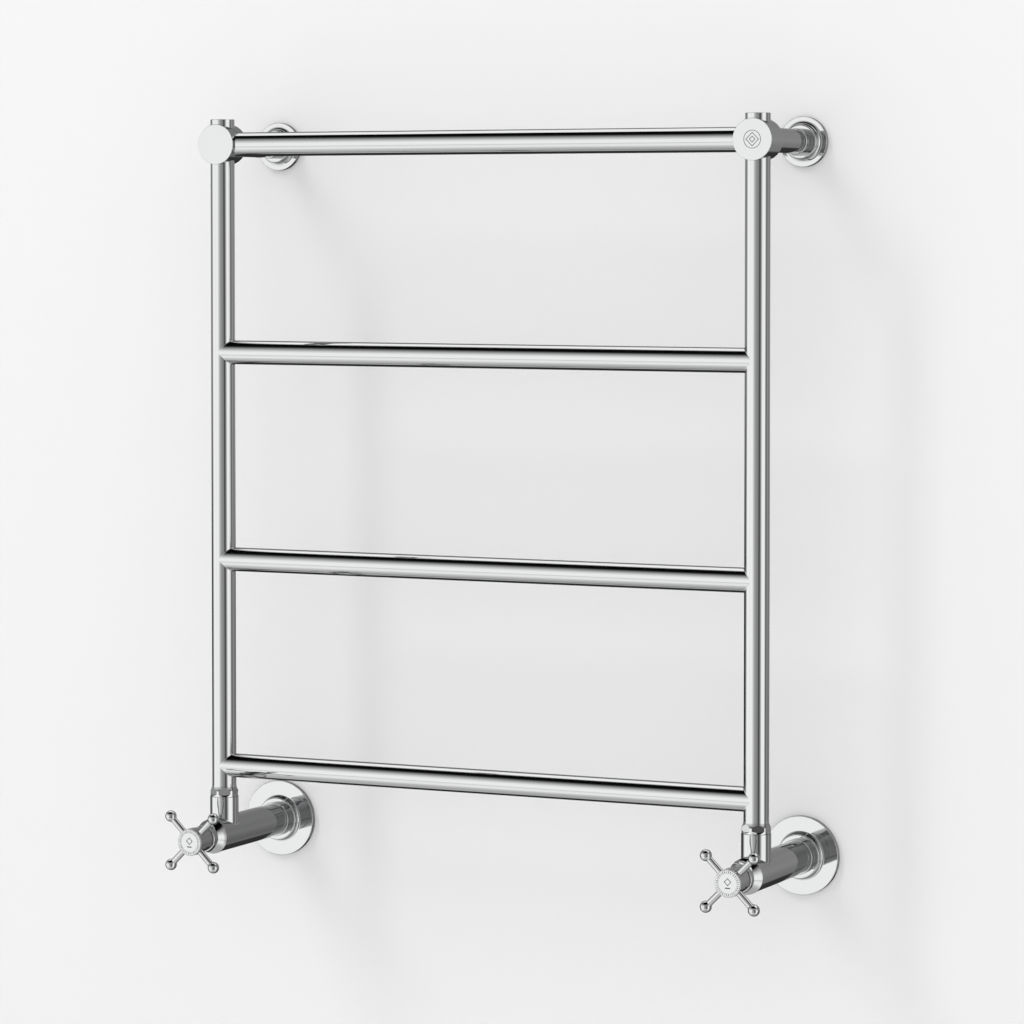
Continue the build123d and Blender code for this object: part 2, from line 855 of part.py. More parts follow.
def make_handle_hub(x):
    """Centre of the crosshead: a skirt over the headwork, a square socket and four spoke holes."""
    centre = Vector(x, spoke_depth - wall_distance, valve_height)
    outline = [
        (handle_skirt_back, handle_skirt_bore_r),
        (handle_skirt_back, handle_skirt_r),
        (handle_skirt_front, handle_skirt_r),
        (handle_skirt_front, handle_hub_r),
        (handle_front, handle_hub_r),
        (handle_front, cap_recess_r),
        (cap_seat, cap_recess_r),
        (cap_seat, handle_head_r),
        (handle_web_front, handle_head_r),
        (handle_web_front, screw_hole_r),
        (handle_skirt_floor, screw_hole_r),
        (handle_skirt_floor, handle_skirt_bore_r),
    ]
    with BuildPart() as hub:
        add(turned(outline, x, valve_height).part)
        with BuildSketch(across(x, valve_height, handle_socket_end)):
            Rectangle(spindle_square + slip_gap, spindle_square + slip_gap)
        extrude(amount=handle_skirt_floor - handle_socket_end, mode=Mode.SUBTRACT)
        for angle in spoke_angles:
            direction = spoke_direction(angle)
            with BuildSketch(Plane(origin=centre + direction * (spoke_start - end_gap), z_dir=direction)):
                Circle(spoke_r + running_gap)
            extrude(amount=handle_hub_r, mode=Mode.SUBTRACT)
    return hub


def make_handle_spokes(x):
    """Four ball-ended spokes pressed into the hub's holes."""
    centre = Vector(x, spoke_depth - wall_distance, valve_height)
    waist = sqrt(ball_r**2 - spoke_r**2)
    with BuildPart() as spokes:
        for angle in spoke_angles:
            direction = spoke_direction(angle)
            with BuildSketch(Plane(origin=centre, x_dir=direction, z_dir=spoke_direction(angle + 90))):
                with BuildLine():
                    Polyline(
                        (spoke_reach + ball_r, 0),
                        (spoke_start, 0),
                        (spoke_start, spoke_r),
                        (spoke_reach - waist, spoke_r),
                    )
                    ThreePointArc(
                        (spoke_reach - waist, spoke_r), (spoke_reach, ball_r), (spoke_reach + ball_r, 0)
                    )
                make_face()
            revolve(axis=Axis(centre, direction))
    return spokes


def make_handle_cap(x):
    """Front disc of the crosshead, over the handle screw."""
    with BuildPart() as cap:
        with BuildSketch(across(x, valve_height, handle_front - cap_proud)):
            Circle(cap_recess_r - running_gap)
        extrude(amount=cap_proud + cap_recess_depth)
        fillet(circles(cap, cap_recess_r - running_gap).sort_by(Axis.Y)[0], cap_round)
    return cap


def make_handle_screw(x):
    """Screw that holds the crosshead on the spindle's square."""
    with BuildPart() as screw:
        with BuildSketch(across(x, valve_height, handle_web_front - handle_screw_head)):
            Circle(handle_screw_head_r)
        extrude(amount=handle_screw_head)
        with BuildSketch(across(x, valve_height, handle_web_front)):
            Circle(handle_screw_r)
        extrude(amount=handle_screw_length)
    return screw


os.makedirs("parts", exist_ok=True)

for rail_name, rail_height in rail_heights.items():
    save(make_rail(rail_height), rail_name)

for side, sign in sides.items():
    side_x = sign * post_x
    save(make_post(side_x, -sign), f"{side}_post")
    save(make_hub(side_x, -sign), f"{side}_hub")
    save(make_hub_cap(side_x), f"{side}_hub_cap")
    save(make_stay_sleeve(side_x), f"{side}_stay_sleeve")
    save(make_stay_rod(side_x), f"{side}_stay_rod")
    save(make_stay_collar(side_x), f"{side}_stay_collar")
    stay_rose = make_rose(
        side_x, 0, stay_rose_front, rod_r + slip_gap, stay_rose_boss_r, stay_rose_foot_r, stay_rose_r,
        stay_rose_plate,
    )
    save(stay_rose, f"{side}_stay_rose")
    save(make_wall_plate(side_x), f"{side}_wall_plate")
    save(make_post_flare(side_x), f"{side}_post_flare")
    save(make_union_tail(side_x), f"{side}_union_tail")
    save(make_union_nut(side_x), f"{side}_union_nut")
    save(make_valve_body(side_x), f"{side}_valve_body")
    save(make_pipe_shroud(side_x), f"{side}_pipe_shroud")
    valve_rose = make_rose(
        side_x, valve_height, valve_rose_front, shroud_r + slip_gap, valve_rose_boss_r, valve_rose_foot_r,
        valve_rose_r, valve_rose_plate,
    )
    save(valve_rose, f"{side}_valve_rose")
    save(make_headwork(side_x), f"{side}_headwork")
    save(make_bonnet(side_x), f"{side}_bonnet")
    save(make_spindle(side_x), f"{side}_spindle")
    save(make_jumper(side_x), f"{side}_jumper")
    save(make_jumper_washer(side_x), f"{side}_jumper_washer")
    save(make_handle_hub(side_x), f"{side}_handle_hub")
    save(make_handle_spokes(side_x), f"{side}_handle_spokes")
    save(make_handle_cap(side_x), f"{side}_handle_cap")
    save(make_handle_screw(side_x), f"{side}_handle_screw")

save(make_air_vent(-post_x), "left_air_vent")
save(make_bleed_screw(-post_x), "bleed_screw")
save(make_blanking_plug(post_x), "right_blanking_plug")
save(both(make_grub_screw), "stay_grub_screws")
save(both(make_union_seal), "union_seals")
save(both(make_olive), "olives")
save(both(make_compression_nut), "compression_nuts")
save(both(make_rose_ring), "rose_rings")
save(both(make_spindle_seal), "spindle_seals")
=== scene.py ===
import bpy
import json
import math
import numpy as np
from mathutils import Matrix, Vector


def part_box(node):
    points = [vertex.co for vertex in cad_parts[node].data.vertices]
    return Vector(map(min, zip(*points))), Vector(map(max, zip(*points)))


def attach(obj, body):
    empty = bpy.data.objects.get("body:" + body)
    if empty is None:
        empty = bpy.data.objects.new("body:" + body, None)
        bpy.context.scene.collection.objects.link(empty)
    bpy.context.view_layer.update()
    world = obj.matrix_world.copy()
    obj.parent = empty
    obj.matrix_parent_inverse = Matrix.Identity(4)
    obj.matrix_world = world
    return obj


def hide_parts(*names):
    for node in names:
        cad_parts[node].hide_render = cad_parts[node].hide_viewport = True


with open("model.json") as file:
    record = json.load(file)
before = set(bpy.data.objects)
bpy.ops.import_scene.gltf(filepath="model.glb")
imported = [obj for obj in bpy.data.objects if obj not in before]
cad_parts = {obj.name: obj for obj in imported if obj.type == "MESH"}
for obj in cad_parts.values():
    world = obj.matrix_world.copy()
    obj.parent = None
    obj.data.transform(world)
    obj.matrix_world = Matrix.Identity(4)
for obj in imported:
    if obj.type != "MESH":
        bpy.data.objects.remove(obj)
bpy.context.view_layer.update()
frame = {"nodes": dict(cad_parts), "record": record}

# Chrome ladder towel radiator on two wall stays, with two crosshead valves. The row's frame is kept: +Z up,
# the wall is the plane Y = 0, and the radiator stands in front of it, towards -Y. Outlines are in mm, in
# each piece's own place: (along its axis, radius, rounding). Everything in the scene is in metres.

MM = 0.001
SMOOTH = -1.0                     # in place of a rounding: a point on a curve, whose two sides blend
FINEST = 144                      # facets round the valve roses
FINE = 112                        # round the other large turned pieces
MEDIUM = 72                       # round the small ones
COARSE = 36                       # and round the grub screws
SIDES = {"left": -1, "right": 1}
TO_WALL = Vector((0, 1, 0))
UP = Vector((0, 0, 1))
RIGHT = Vector((1, 0, 0))


def middle(node):
    low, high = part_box(node)
    return (low + high) / 2


# Places and sizes taken from the frame, in millimetres
post_low, post_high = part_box("left_post")
POST_X = middle("right_post").x
POST_Y = middle("right_post").y
POST_R = (post_high.x - post_low.x) / 2 / MM
POST_FOOT = post_low.z
POST_TOP = post_high.z
TUBE_WALL = 1.5
RAILS = ["top_rail", "upper_rung", "middle_rung", "lower_rung"]
RAIL_R = (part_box("top_rail")[1].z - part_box("top_rail")[0].z) / 2 / MM
VALVE_Z = middle("left_valve_rose").z

# The hollow that runs from the foot of a post down over its union nut, by height above the valve's axis
HOLLOW_R = 12.5
HOLLOW_TOP = (POST_FOOT - VALVE_Z) / MM


# ---------------------------------------------------------------- meshes


def edge_directions(points):
    """Unit directions of a closed outline's edges, each from its point to the next."""
    steps = np.roll(points, -1, axis=0) - points
    return steps / np.maximum(np.linalg.norm(steps, axis=1), 1e-12)[:, None]


def outline_points(corners):
    """Points of a closed outline with the surface's normal before and after each, from rounded corners."""
    places = np.array([corner[:2] for corner in corners], float)
    rounds = [corner[2] if len(corner) > 2 else 0.0 for corner in corners]
    following = np.roll(places, -1, axis=0)
    area = float(np.sum(places[:, 0] * following[:, 1] - following[:, 0] * places[:, 1]))
    turn = 1.0 if area > 0 else -1.0
    ahead = edge_directions(places)
    out = []
    for index, place in enumerate(places):
        before, after = ahead[index - 1], ahead[index]
        normal_before = turn * np.array((before[1], -before[0]))
        normal_after = turn * np.array((after[1], -after[0]))
        bend = math.acos(float(np.clip(before @ after, -1, 1)))
        if rounds[index] == SMOOTH:
            blended = normal_before + normal_after
            blended = blended / np.linalg.norm(blended)
            out.append((place, blended, blended))
        elif rounds[index] <= 0 or bend < 1e-4:
            out.append((place, normal_before, normal_after))
        else:
            convex = 1.0 if turn * (before[0] * after[1] - before[1] * after[0]) > 0 else -1.0
            radius = rounds[index]
            reach = radius * math.tan(bend / 2)
            centre = place - before * reach - convex * radius * normal_before
            steps = max(2, math.ceil(bend / math.radians(12)))
            for step in range(steps + 1):
                share = step / steps
                normal = normal_before * math.sin((1 - share) * bend) + normal_after * math.sin(share * bend)
                normal = normal / np.linalg.norm(normal)
                out.append((centre + convex * radius * normal, normal, normal))
    return out


class Shell:
    """Vertices, faces and corner normals of a closed mesh, gathered before they go to Blender."""

    def __init__(self):
        self.points = []
        self.faces = []
        self.normals = []

    def add_ring(self, ring):
        """Adds a ring of points and gives the index of its first one."""
        start = len(self.points)
        self.points.extend(Vector(point) for point in ring)
        return start

    def add_face(self, indices, normals=None):
        """Adds a face, turned so that it looks the way its normals do."""
        corners = [self.points[index] for index in indices]
        flat = Vector()
        for first, second in zip(corners, corners[1:] + corners[:1]):
            flat += first.cross(second)
        if normals is None:
            normals = [flat.normalized()] * len(indices)
        elif flat.dot(sum(normals, Vector())) < 0:
            indices, normals = indices[::-1], normals[::-1]
        self.faces.append(list(indices))
        self.normals.extend(normals)

    def join_rings(self, first, second, count, first_normals, second_normals):
        """Faces between two rings of the same count, smooth along them."""
        for spot in range(count):
            after = (spot + 1) % count
            self.add_face(
                [first + spot, second + spot, second + after, first + after],
                [first_normals[spot], second_normals[spot], second_normals[after], first_normals[after]],
            )


def basis(axis):
    """Two unit vectors square to an axis and to each other."""
    axis = Vector(axis).normalized()
    side = UP if abs(axis.z) < 0.9 else TO_WALL
    side = (side - axis * side.dot(axis)).normalized()
    return axis, side, axis.cross(side)


def add_turned(shell, corners, centre, axis, count=FINE):
    """Adds a solid turned about an axis through centre, from corners in millimetres."""
    axis, side, other = basis(axis)
    angles = [2 * math.pi * spot / count for spot in range(count)]
    spokes = [side * math.cos(angle) + other * math.sin(angle) for angle in angles]
    outline = outline_points(corners)
    rings = []
    for place, _, _ in outline:
        along, radius = place * MM
        if radius < 1e-7:
            rings.append(shell.add_ring([centre + axis * along]))
        else:
            rings.append(shell.add_ring([centre + axis * along + spoke * radius for spoke in spokes]))
    for index, (place, _, leaving) in enumerate(outline):
        after = (index + 1) % len(outline)
        next_place, arriving, _ = outline[after]
        start_on_axis = place[1] * MM < 1e-7
        end_on_axis = next_place[1] * MM < 1e-7
        if start_on_axis and end_on_axis:
            continue
        leave = [axis * leaving[0] + spoke * leaving[1] for spoke in spokes]
        arrive = [axis * arriving[0] + spoke * arriving[1] for spoke in spokes]
        if start_on_axis or end_on_axis:
            tip, ring = (index, after) if start_on_axis else (after, index)
            flat = Vector(axis * (leaving[0] if start_on_axis else arriving[0])).normalized()
            rim = arrive if start_on_axis else leave
            for spot in range(count):
                following = (spot + 1) % count
                shell.add_face(
                    [rings[tip], rings[ring] + spot, rings[ring] + following],
                    [flat, rim[spot], rim[following]],
                )
        else:
            shell.join_rings(rings[index], rings[after], count, leave, arrive)
    return shell


def add_block(shell, centre, half, turned=0.0):
    """Adds a small block that lies in the XZ plane, turned about Y, as a raised mark; sizes in metres."""
    cosine, sine = math.cos(turned), math.sin(turned)
    first = RIGHT * cosine + UP * sine
    second = UP * cosine - RIGHT * sine
    signs = [(-1, -1), (1, -1), (1, 1), (-1, 1)]
    back = [centre + first * half[0] * u + second * half[2] * v + TO_WALL * half[1] for u, v in signs]
    front = [centre + first * half[0] * u + second * half[2] * v - TO_WALL * half[1] for u, v in signs]
    low = shell.add_ring(back)
    high = shell.add_ring(front)
    quads = [[low + k for k in range(4)], [high + k for k in range(4)]]
    quads += [[low + k, low + (k + 1) % 4, high + (k + 1) % 4, high + k] for k in range(4)]
    for quad in quads:
        middle_point = sum((shell.points[index] for index in quad), Vector()) / 4
        across = shell.points[quad[1]] - shell.points[quad[0]]
        upward = shell.points[quad[2]] - shell.points[quad[1]]
        normal = across.cross(upward).normalized()
        if normal.dot(middle_point - centre) < 0:
            normal = -normal
        shell.add_face(quad, [normal] * 4)


def add_saddled_tube(shell, radius, bore, host_r, weld, start, along, side, far, far_is_saddle):
    """Adds a tube that springs from a round host at start, with a small weld fillet round the saddle.

    along points out of the host, side lies across the host's axis. The tube runs to another host far away,
    when far_is_saddle, or to a flat end there. Sizes in millimetres, places in metres."""
    rise = along.cross(side)
    angles = [2 * math.pi * spot / FINE for spot in range(FINE)]

    def saddle(ring_r, direction, origin):
        """Curve where a tube of ring_r meets the host at origin."""
        out = []
        for angle in angles:
            across = ring_r * math.cos(angle)
            reach = math.sqrt(host_r**2 - across**2)
            out.append(origin + (direction * reach + side * across + rise * ring_r * math.sin(angle)) * MM)
        return out

    def fillet_rings(origin, direction):
        """Rings from the host's surface to the tube's, with their normals."""
        rings = []
        steps = 5
        for step in range(steps + 1):
            share = step / steps
            ring = []
            normals = []
            for angle in angles:
                across = radius * math.cos(angle)
                reach = math.sqrt(host_r**2 - across**2)
                outward = side * math.cos(angle) + rise * math.sin(angle)
                meeting = direction * reach + side * across + rise * radius * math.sin(angle)
                host_normal = (direction * reach + side * across) / host_r
                lean = (outward - host_normal * outward.dot(host_normal)).normalized()
                foot = meeting + lean * weld
                round_part = direction * foot.dot(direction) + side * foot.dot(side)
                foot = round_part.normalized() * host_r + rise * foot.dot(rise)
                foot_normal = round_part.normalized()
                top = meeting + direction * weld
                point = foot * (1 - share) ** 2 + meeting * 2 * share * (1 - share) + top * share**2
                ring.append(origin + point * MM)
                normals.append((foot_normal * (1 - share) + outward * share).normalized())
            rings.append((shell.add_ring(ring), normals))
        return rings

    outward = [side * math.cos(angle) + rise * math.sin(angle) for angle in angles]
    inward = [-normal for normal in outward]
    near_rings = fillet_rings(start, along)
    rings = list(near_rings)
    if far_is_saddle:
        rings += fillet_rings(far, -along)[::-1]
        far_bore = shell.add_ring(saddle(bore, -along, far))
        end_normals = None
    else:
        rings.append((shell.add_ring([far + normal * radius * MM for normal in outward]), outward))
        far_bore = shell.add_ring([far + normal * bore * MM for normal in outward])
        end_normals = [along] * FINE
    for (first, first_normals), (second, second_normals) in zip(rings, rings[1:]):
        shell.join_rings(first, second, FINE, first_normals, second_normals)
    near_bore = shell.add_ring(saddle(bore, along, start))
    shell.join_rings(near_bore, far_bore, FINE, inward, inward)
    near_face = [-along] * FINE
    shell.join_rings(near_rings[0][0], near_bore, FINE, near_face, near_face)
    far_face = end_normals or [along] * FINE
    shell.join_rings(rings[-1][0], far_bore, FINE, far_face, far_face)


def add_milled_nut(shell, centre, nut):
    """Adds a round nut, hollow above, with six flats whose lower ends are rounded and slope out.

    nut holds its sizes in millimetres; its flats face along X, and two more pairs stand at 60 degrees."""
    half_flat = math.acos(nut["flat_r"] / nut["r"])
    end_reach = nut["flat_r"] * math.tan(half_flat)
    end_height = nut["end_height"] - math.sqrt(nut["end_r"] ** 2 - end_reach**2)
    shoulder = hollow_height(nut["r"])
    top_rows = 6
    half_steps = 9
    corner_steps = 4
    between = math.radians(60) - 2 * half_flat
    turns = [half_flat * step / half_steps for step in range(-half_steps, half_steps + 1)]
    corner_turns = [half_flat + between * step / corner_steps for step in range(corner_steps + 1)]

    def column(face_angle, turn, on_flat):
        """Heights, radii and normals up one line of the nut, strip by strip."""
        angle = face_angle + turn
        spoke = RIGHT * math.cos(angle) + TO_WALL * math.sin(angle)
        face = RIGHT * math.cos(face_angle) + TO_WALL * math.sin(face_angle)
        if on_flat:
            flat_r = nut["flat_r"] / math.cos(turn)
            lateral = nut["flat_r"] * math.tan(turn)
            flat_low = nut["end_height"] - math.sqrt(nut["end_r"] ** 2 - lateral**2)
            out = nut["r"] * math.cos(turn) - nut["flat_r"]
            sideways = nut["r"] * math.sin(turn)
            slope_low = nut["end_height"] - math.sqrt((nut["end_r"] + out) ** 2 - sideways**2)
            flat_high = min(hollow_height(flat_r), nut["high"])
            tangent = (face.cross(UP)).normalized()
            inward = UP * (nut["end_height"] - flat_low) + tangent * (spoke.dot(tangent) * -flat_r)
            slope_normal = (face + inward.normalized()).normalized()
            flat_normal = face
        else:
            flat_r = nut["r"]
            slope_low = flat_low = end_height
            flat_high = shoulder
            slope_normal = flat_normal = spoke
        rows = [(nut["low"], nut["r"]), (slope_low, nut["r"]), (flat_low, flat_r), (flat_high, flat_r)]
        strips = [spoke, slope_normal, flat_normal]
        for step in range(1, top_rows + 1):
            height = flat_high + (nut["high"] - flat_high) * step / top_rows
            rows.append((height, hollow_r(height)))
        hollow = [hollow_normal(height, radius, spoke) for height, radius in rows[3:]]
        rows += [(nut["high"], nut["bore"]), (nut["low"], nut["bore"])]
        return spoke, rows, strips, hollow

    columns = []
    for face in range(6):
        face_angle = math.radians(60 * face)
        columns += [column(face_angle, turn, True) for turn in turns]
        columns += [column(face_angle, turn, False) for turn in corner_turns]
    count = len(columns)
    height_count = len(columns[0][1])
    wall_rows = 3
    starts = []
    for row in range(height_count):
        ring = []
        for spoke, rows, _, _ in columns:
            height, radius = rows[row]
            ring.append(centre + (UP * height + spoke * radius) * MM)
        starts.append(shell.add_ring(ring))
    for row in range(height_count):
        after = (row + 1) % height_count
        first, second = [], []
        for spoke, _, strips, hollow in columns:
            if row < wall_rows:
                low_normal = high_normal = strips[row]
            elif row < wall_rows + top_rows:
                low_normal, high_normal = hollow[row - wall_rows], hollow[row - wall_rows + 1]
            elif row == height_count - 3:
                low_normal = high_normal = UP
            elif row == height_count - 2:
                low_normal = high_normal = -spoke
            else:
                low_normal = high_normal = -UP
            first.append(low_normal)
            second.append(high_normal)
        shell.join_rings(starts[row], starts[after], count, first, second)


def hollow_r(height):
    """Radius of the hollow that runs from the post down to the nut, at a height above the valve's axis."""
    return POST_R + HOLLOW_R - math.sqrt(HOLLOW_R**2 - (HOLLOW_TOP - height) ** 2)


def hollow_height(radius):
    """Height above the valve's axis at which that hollow has a radius."""
    return HOLLOW_TOP - math.sqrt(HOLLOW_R**2 - (HOLLOW_R + POST_R - radius) ** 2)


def hollow_normal(height, radius, spoke):
    """Normal of that hollow on the side of a spoke."""
    return (UP * (HOLLOW_TOP - height) + spoke * (HOLLOW_R + POST_R - radius)).normalized()


def welded(shell):
    """Points, faces and corner normals of a shell with its coincident points joined."""
    places = {}
    points = []
    index_of = []
    for point in shell.points:
        key = tuple(round(value, 7) for value in point)
        if key not in places:
            places[key] = len(points)
            points.append(tuple(point))
        index_of.append(places[key])
    faces = []
    normals = []
    corner = 0
    for face in shell.faces:
        kept = []
        for index in face:
            joined = index_of[index]
            if joined not in [place for place, _ in kept]:
                kept.append((joined, shell.normals[corner]))
            corner += 1
        if len(kept) > 2:
            faces.append([place for place, _ in kept])
            normals.extend(tuple(normal) for _, normal in kept)
    return points, faces, normals


def build(name, shell, body, material, record_slot, *nodes):
    """Makes the Blender object of a shell, on its body, in place of its CAD nodes."""
    points, faces, normals = welded(shell)
    mesh = bpy.data.meshes.new(name)
    mesh.from_pydata(points, [], faces)
    mesh.polygons.foreach_set("use_smooth", [True] * len(mesh.polygons))
    mesh.update()
    mesh.normals_split_custom_set(normals)
    mesh.materials.append(material)
    piece = bpy.data.objects.new(name, mesh)
    bpy.context.scene.collection.objects.link(piece)
    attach(piece, body)
    if nodes:
        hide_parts(*nodes)
    return piece


# ---------------------------------------------------------------- materials


def new_material(name):
    material = bpy.data.materials.new(name)
    material.use_nodes = True
    nodes = material.node_tree.nodes
    return material, nodes, material.node_tree.links, nodes["Principled BSDF"]


def noise(nodes, links, scale, detail=3.0, stretch=(1, 1, 1)):
    """Noise in the object's own coordinates, stretched along an axis where the finish was drawn."""
    coordinates = nodes.new("ShaderNodeTexCoord")
    mapping = nodes.new("ShaderNodeMapping")
    mapping.inputs["Scale"].default_value = stretch
    texture = nodes.new("ShaderNodeTexNoise")
    texture.inputs["Scale"].default_value = scale
    texture.inputs["Detail"].default_value = detail
    links.new(coordinates.outputs["Object"], mapping.inputs["Vector"])
    links.new(mapping.outputs["Vector"], texture.inputs["Vector"])
    return texture.outputs["Fac"]


def ranged(nodes, links, value, low, high):
    """Value, from 0.3 to 0.7, moved to the range low to high."""
    node = nodes.new("ShaderNodeMapRange")
    node.inputs["From Min"].default_value = 0.3
    node.inputs["From Max"].default_value = 0.7
    node.inputs["To Min"].default_value = low
    node.inputs["To Max"].default_value = high
    links.new(value, node.inputs["Value"])
    return node.outputs["Result"]


def metal(name, colour, roughness, bump=0.0, bump_scale=900.0, worn=(60.0, 1.0), stretch=(1, 1, 1)):
    """Metal with a wiped, slightly uneven polish: roughness and tint drift, and a fine bump."""
    material, nodes, links, shader = new_material(name)
    scale, tint = worn
    drift = noise(nodes, links, scale, 4.0)
    shader.inputs["Metallic"].default_value = 1.0
    links.new(ranged(nodes, links, drift, roughness[0], roughness[1]), shader.inputs["Roughness"])
    shade = nodes.new("ShaderNodeMix")
    shade.data_type = "RGBA"
    links.new(drift, shade.inputs["Factor"])
    shade.inputs["A"].default_value = (*(channel * tint for channel in colour), 1)
    shade.inputs["B"].default_value = (*colour, 1)
    links.new(shade.outputs["Result"], shader.inputs["Base Color"])
    if bump:
        grain = noise(nodes, links, bump_scale, 2.0, stretch)
        node = nodes.new("ShaderNodeBump")
        node.inputs["Strength"].default_value = bump
        node.inputs["Distance"].default_value = 0.0001
        links.new(grain, node.inputs["Height"])
        links.new(node.outputs["Normal"], shader.inputs["Normal"])
    return material


def plain(name, colour, roughness, bump, bump_scale):
    """Matt material with a fine grain."""
    material, nodes, links, shader = new_material(name)
    grain = noise(nodes, links, bump_scale, 3.0)
    links.new(ranged(nodes, links, grain, roughness[0], roughness[1]), shader.inputs["Roughness"])
    shade = nodes.new("ShaderNodeMix")
    shade.data_type = "RGBA"
    links.new(grain, shade.inputs["Factor"])
    shade.inputs["A"].default_value = (*(channel * 0.9 for channel in colour), 1)
    shade.inputs["B"].default_value = (*colour, 1)
    links.new(shade.outputs["Result"], shader.inputs["Base Color"])
    node = nodes.new("ShaderNodeBump")
    node.inputs["Strength"].default_value = bump
    node.inputs["Distance"].default_value = 0.0002
    links.new(grain, node.inputs["Height"])
    links.new(node.outputs["Normal"], shader.inputs["Normal"])
    return material


CHROME = metal("chrome", (0.87, 0.875, 0.88), (0.02, 0.05), 0.02, 700.0, (35.0, 0.985))
# Dark, rougher chrome for the raised marks on the caps: its dark colour is painted shade, in place of the
# shade that engraved lines show.
PAINTED_SHADE_CHROME = metal("chrome_with_painted_groove_shade", (0.13, 0.132, 0.135), (0.3, 0.45), 0.1, 2500.0)
BRASS = metal("machined_brass", (0.78, 0.6, 0.3), (0.2, 0.34), 0.15, 1800.0, (120.0, 0.85))
STEEL = metal("zinc_plated_steel", (0.62, 0.63, 0.64), (0.28, 0.42), 0.12, 1500.0, (90.0, 0.85))
RUBBER = plain("rubber", (0.03, 0.03, 0.032), (0.6, 0.8), 0.3, 1500.0)


# ---------------------------------------------------------------- frame of tubes


def post(side, sign):
    """Upright tube, from its foot above the union nut to the seam under its top plug."""
    foot = POST_FOOT / MM
    top = POST_TOP / MM
    bore = POST_R - TUBE_WALL
    corners = [(foot, POST_R), (top, POST_R), (top, bore), (foot, bore)]
    shell = add_turned(Shell(), corners, Vector((sign * POST_X, POST_Y, 0)), UP)
    build(f"{side}_post_tube", shell, "radiator", CHROME, "chrome", f"{side}_post")


def rail(node):
    """Cross tube, saddled on to both posts with a thin braze line."""
    height = middle(node).z
    start = Vector((-POST_X, POST_Y, height))
    end = Vector((POST_X, POST_Y, height))
    weld = 0.7
    shell = Shell()
    add_saddled_tube(shell, RAIL_R, RAIL_R - TUBE_WALL, POST_R, weld, start, RIGHT, TO_WALL, end, True)
    build(f"{node}_tube", shell, "radiator", CHROME, "chrome", node)


def top_plug(side, sign, node, socket_r):
    """Flush plug in the post's top, with a round recess for its key."""
    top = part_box(node)[1].z / MM
    seam = POST_TOP / MM
    floor = top - 5.0
    corners = [
        (seam, 0),
        (seam, POST_R),
        (top, POST_R, 0.5),
        (top, socket_r, 0.2),
        (floor, socket_r),
        (floor, 0),
    ]
    shell = add_turned(Shell(), corners, Vector((sign * POST_X, POST_Y, 0)), UP)
    build(f"{side}_post_top", shell, "radiator", CHROME, "chrome", node)


def hub(side, sign):
    """Drum at the end of the top rail."""
    low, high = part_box(f"{side}_hub_cap")
    radius = (high.x - low.x) / 2 / MM
    front = (low.y - POST_Y) / MM
    seam = (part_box(f"{side}_hub")[0].y - POST_Y) / MM
    back = -front
    centre = Vector((sign * POST_X, POST_Y, 0))
    drum = [(seam, 0), (seam, radius), (back, radius, 0.6), (back, 0)]
    shell = add_turned(Shell(), drum, centre, TO_WALL)
    build(f"{side}_hub_drum", shell, "radiator", CHROME, "chrome", f"{side}_hub")
    disc = [(front, 0), (front, radius, 0.5), (seam, radius), (seam, 0)]
    shell = add_turned(Shell(), disc, centre, TO_WALL)
    build(f"{side}_hub_disc", shell, "radiator", CHROME, "chrome", f"{side}_hub_cap")
    if sign > 0:
        hub_mark(centre + TO_WALL * front * MM)


def ring_groove(face, radius, width):
    """Corners of a turned face with a fine groove round it, from its middle outwards."""
    floor = face + 0.35
    return [
        (face, 0),
        (face, radius - width, 0.05),
        (floor, radius - width / 2),
        (floor, radius + width / 2),
        (face, radius + width, 0.05),
    ]


def add_diamond(shell, face, reach, width, height):
    """Adds a diamond outline of four raised bars on a face that looks towards -Y."""
    bar = reach / math.sqrt(2)
    for quarter in range(4):
        angle = math.radians(45 + 90 * quarter)
        out = (RIGHT * math.cos(angle) + UP * math.sin(angle)) * bar
        add_block(shell, face + out - TO_WALL * height, (width / 2, height, bar + width / 2), angle)


def hub_mark(face):
    """Plain emblem on the right hub's disc: a ring round a diamond with a smaller one inside."""
    shell = Shell()
    raised = 0.12
    bar = 0.6 * MM
    for reach in (6.6, 2.9):
        add_diamond(shell, face, reach * MM, bar, raised / 2 * MM)
    inner_r = 8.5
    outer_r = 9.05
    add_turned(shell, [(0, inner_r), (-raised, inner_r), (-raised, outer_r), (0, outer_r)], face, TO_WALL)
    # The emblem's marks get the dark chrome whose colour is painted shade of engraved lines.
    build("right_hub_mark", shell, "radiator", PAINTED_SHADE_CHROME, "chrome")


